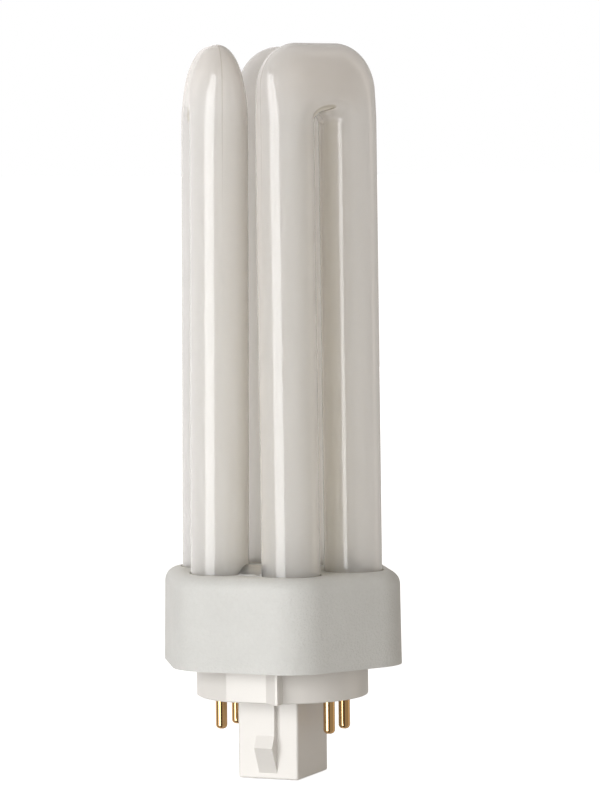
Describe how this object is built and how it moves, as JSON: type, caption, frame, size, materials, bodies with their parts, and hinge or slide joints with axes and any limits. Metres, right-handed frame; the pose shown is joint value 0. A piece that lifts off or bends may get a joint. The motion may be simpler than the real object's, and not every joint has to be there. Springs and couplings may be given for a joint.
{
  "type": "four pin compact fluorescent lamp",
  "caption": "Plug-in compact fluorescent lamp: folded white glass tubes standing in a hexagonal collar, above a cap with contact pins and a square latching post.",
  "frame": {"origin": "on the lamp's axis, at the underside of the cap's plate, midway between the four pins", "axes": "+Z from the cap to the tube tops, X along the longer spacing of the pins, -Y out of one catch side of the post"},
  "size_m": [0.0494, 0.0453, 0.144],
  "materials": {
    "coated_glass": "glossy glass, coated white inside",
    "collar_plastic": "fine matt moulded plastic",
    "cap_plastic": "satin moulded plastic",
    "pin_brass": "bright brass",
    "wire_metal": "drawn wire",
    "sleeve_rubber": "soft white silicone",
    "cement": "dry cement"
  },
  "bodies": {
    "root": {"discharge_tube": "coated_glass", "collar": "collar_plastic", "cap": "cap_plastic", "pin_1": "pin_brass", "pin_2": "pin_brass", "pin_3": "pin_brass", "pin_4": "pin_brass", "lead_wire_1": "wire_metal", "lead_wire_2": "wire_metal", "lead_wire_3": "wire_metal", "lead_wire_4": "wire_metal", "sleeve_3": "sleeve_rubber", "sleeve_4": "sleeve_rubber", "cement_bed_1": "cement", "cement_bed_2": "cement", "cement_bed_3": "cement", "cement_bed_4": "cement", "cement_bed_5": "cement", "cement_bed_6": "cement"}
  },
  "joints": []
}
